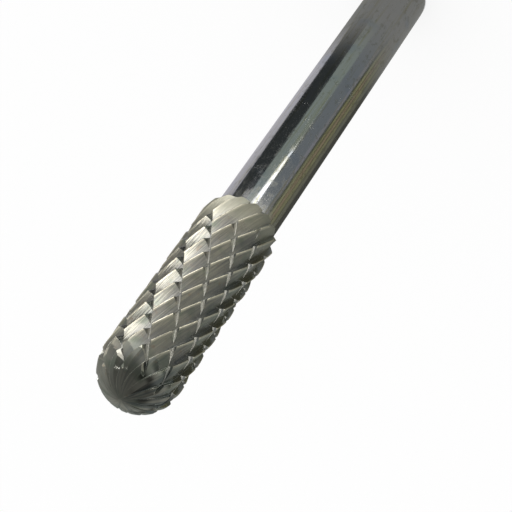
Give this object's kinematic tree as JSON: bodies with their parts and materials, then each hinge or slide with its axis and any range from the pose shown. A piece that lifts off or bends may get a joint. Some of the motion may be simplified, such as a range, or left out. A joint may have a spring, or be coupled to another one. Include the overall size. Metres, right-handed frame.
{
  "type": "carbide burr",
  "caption": "Rotary cutting burr: ball-nosed cylindrical head with crossed helical teeth, brazed to a plain round shank that a collet or chuck holds.",
  "frame": {"origin": "centre of the flat end of the shank", "axes": "+Z runs along the tool's axis, from the end of the shank to the tip of the ball nose"},
  "size_m": [0.008, 0.008, 0.07],
  "materials": {
    "tungsten_carbide": "ground",
    "silver_solder": "satin",
    "polished_steel": "polished"
  },
  "bodies": {
    "root": {"carbide_head": "tungsten_carbide", "braze_joint": "silver_solder", "shank": "polished_steel"}
  },
  "joints": []
}
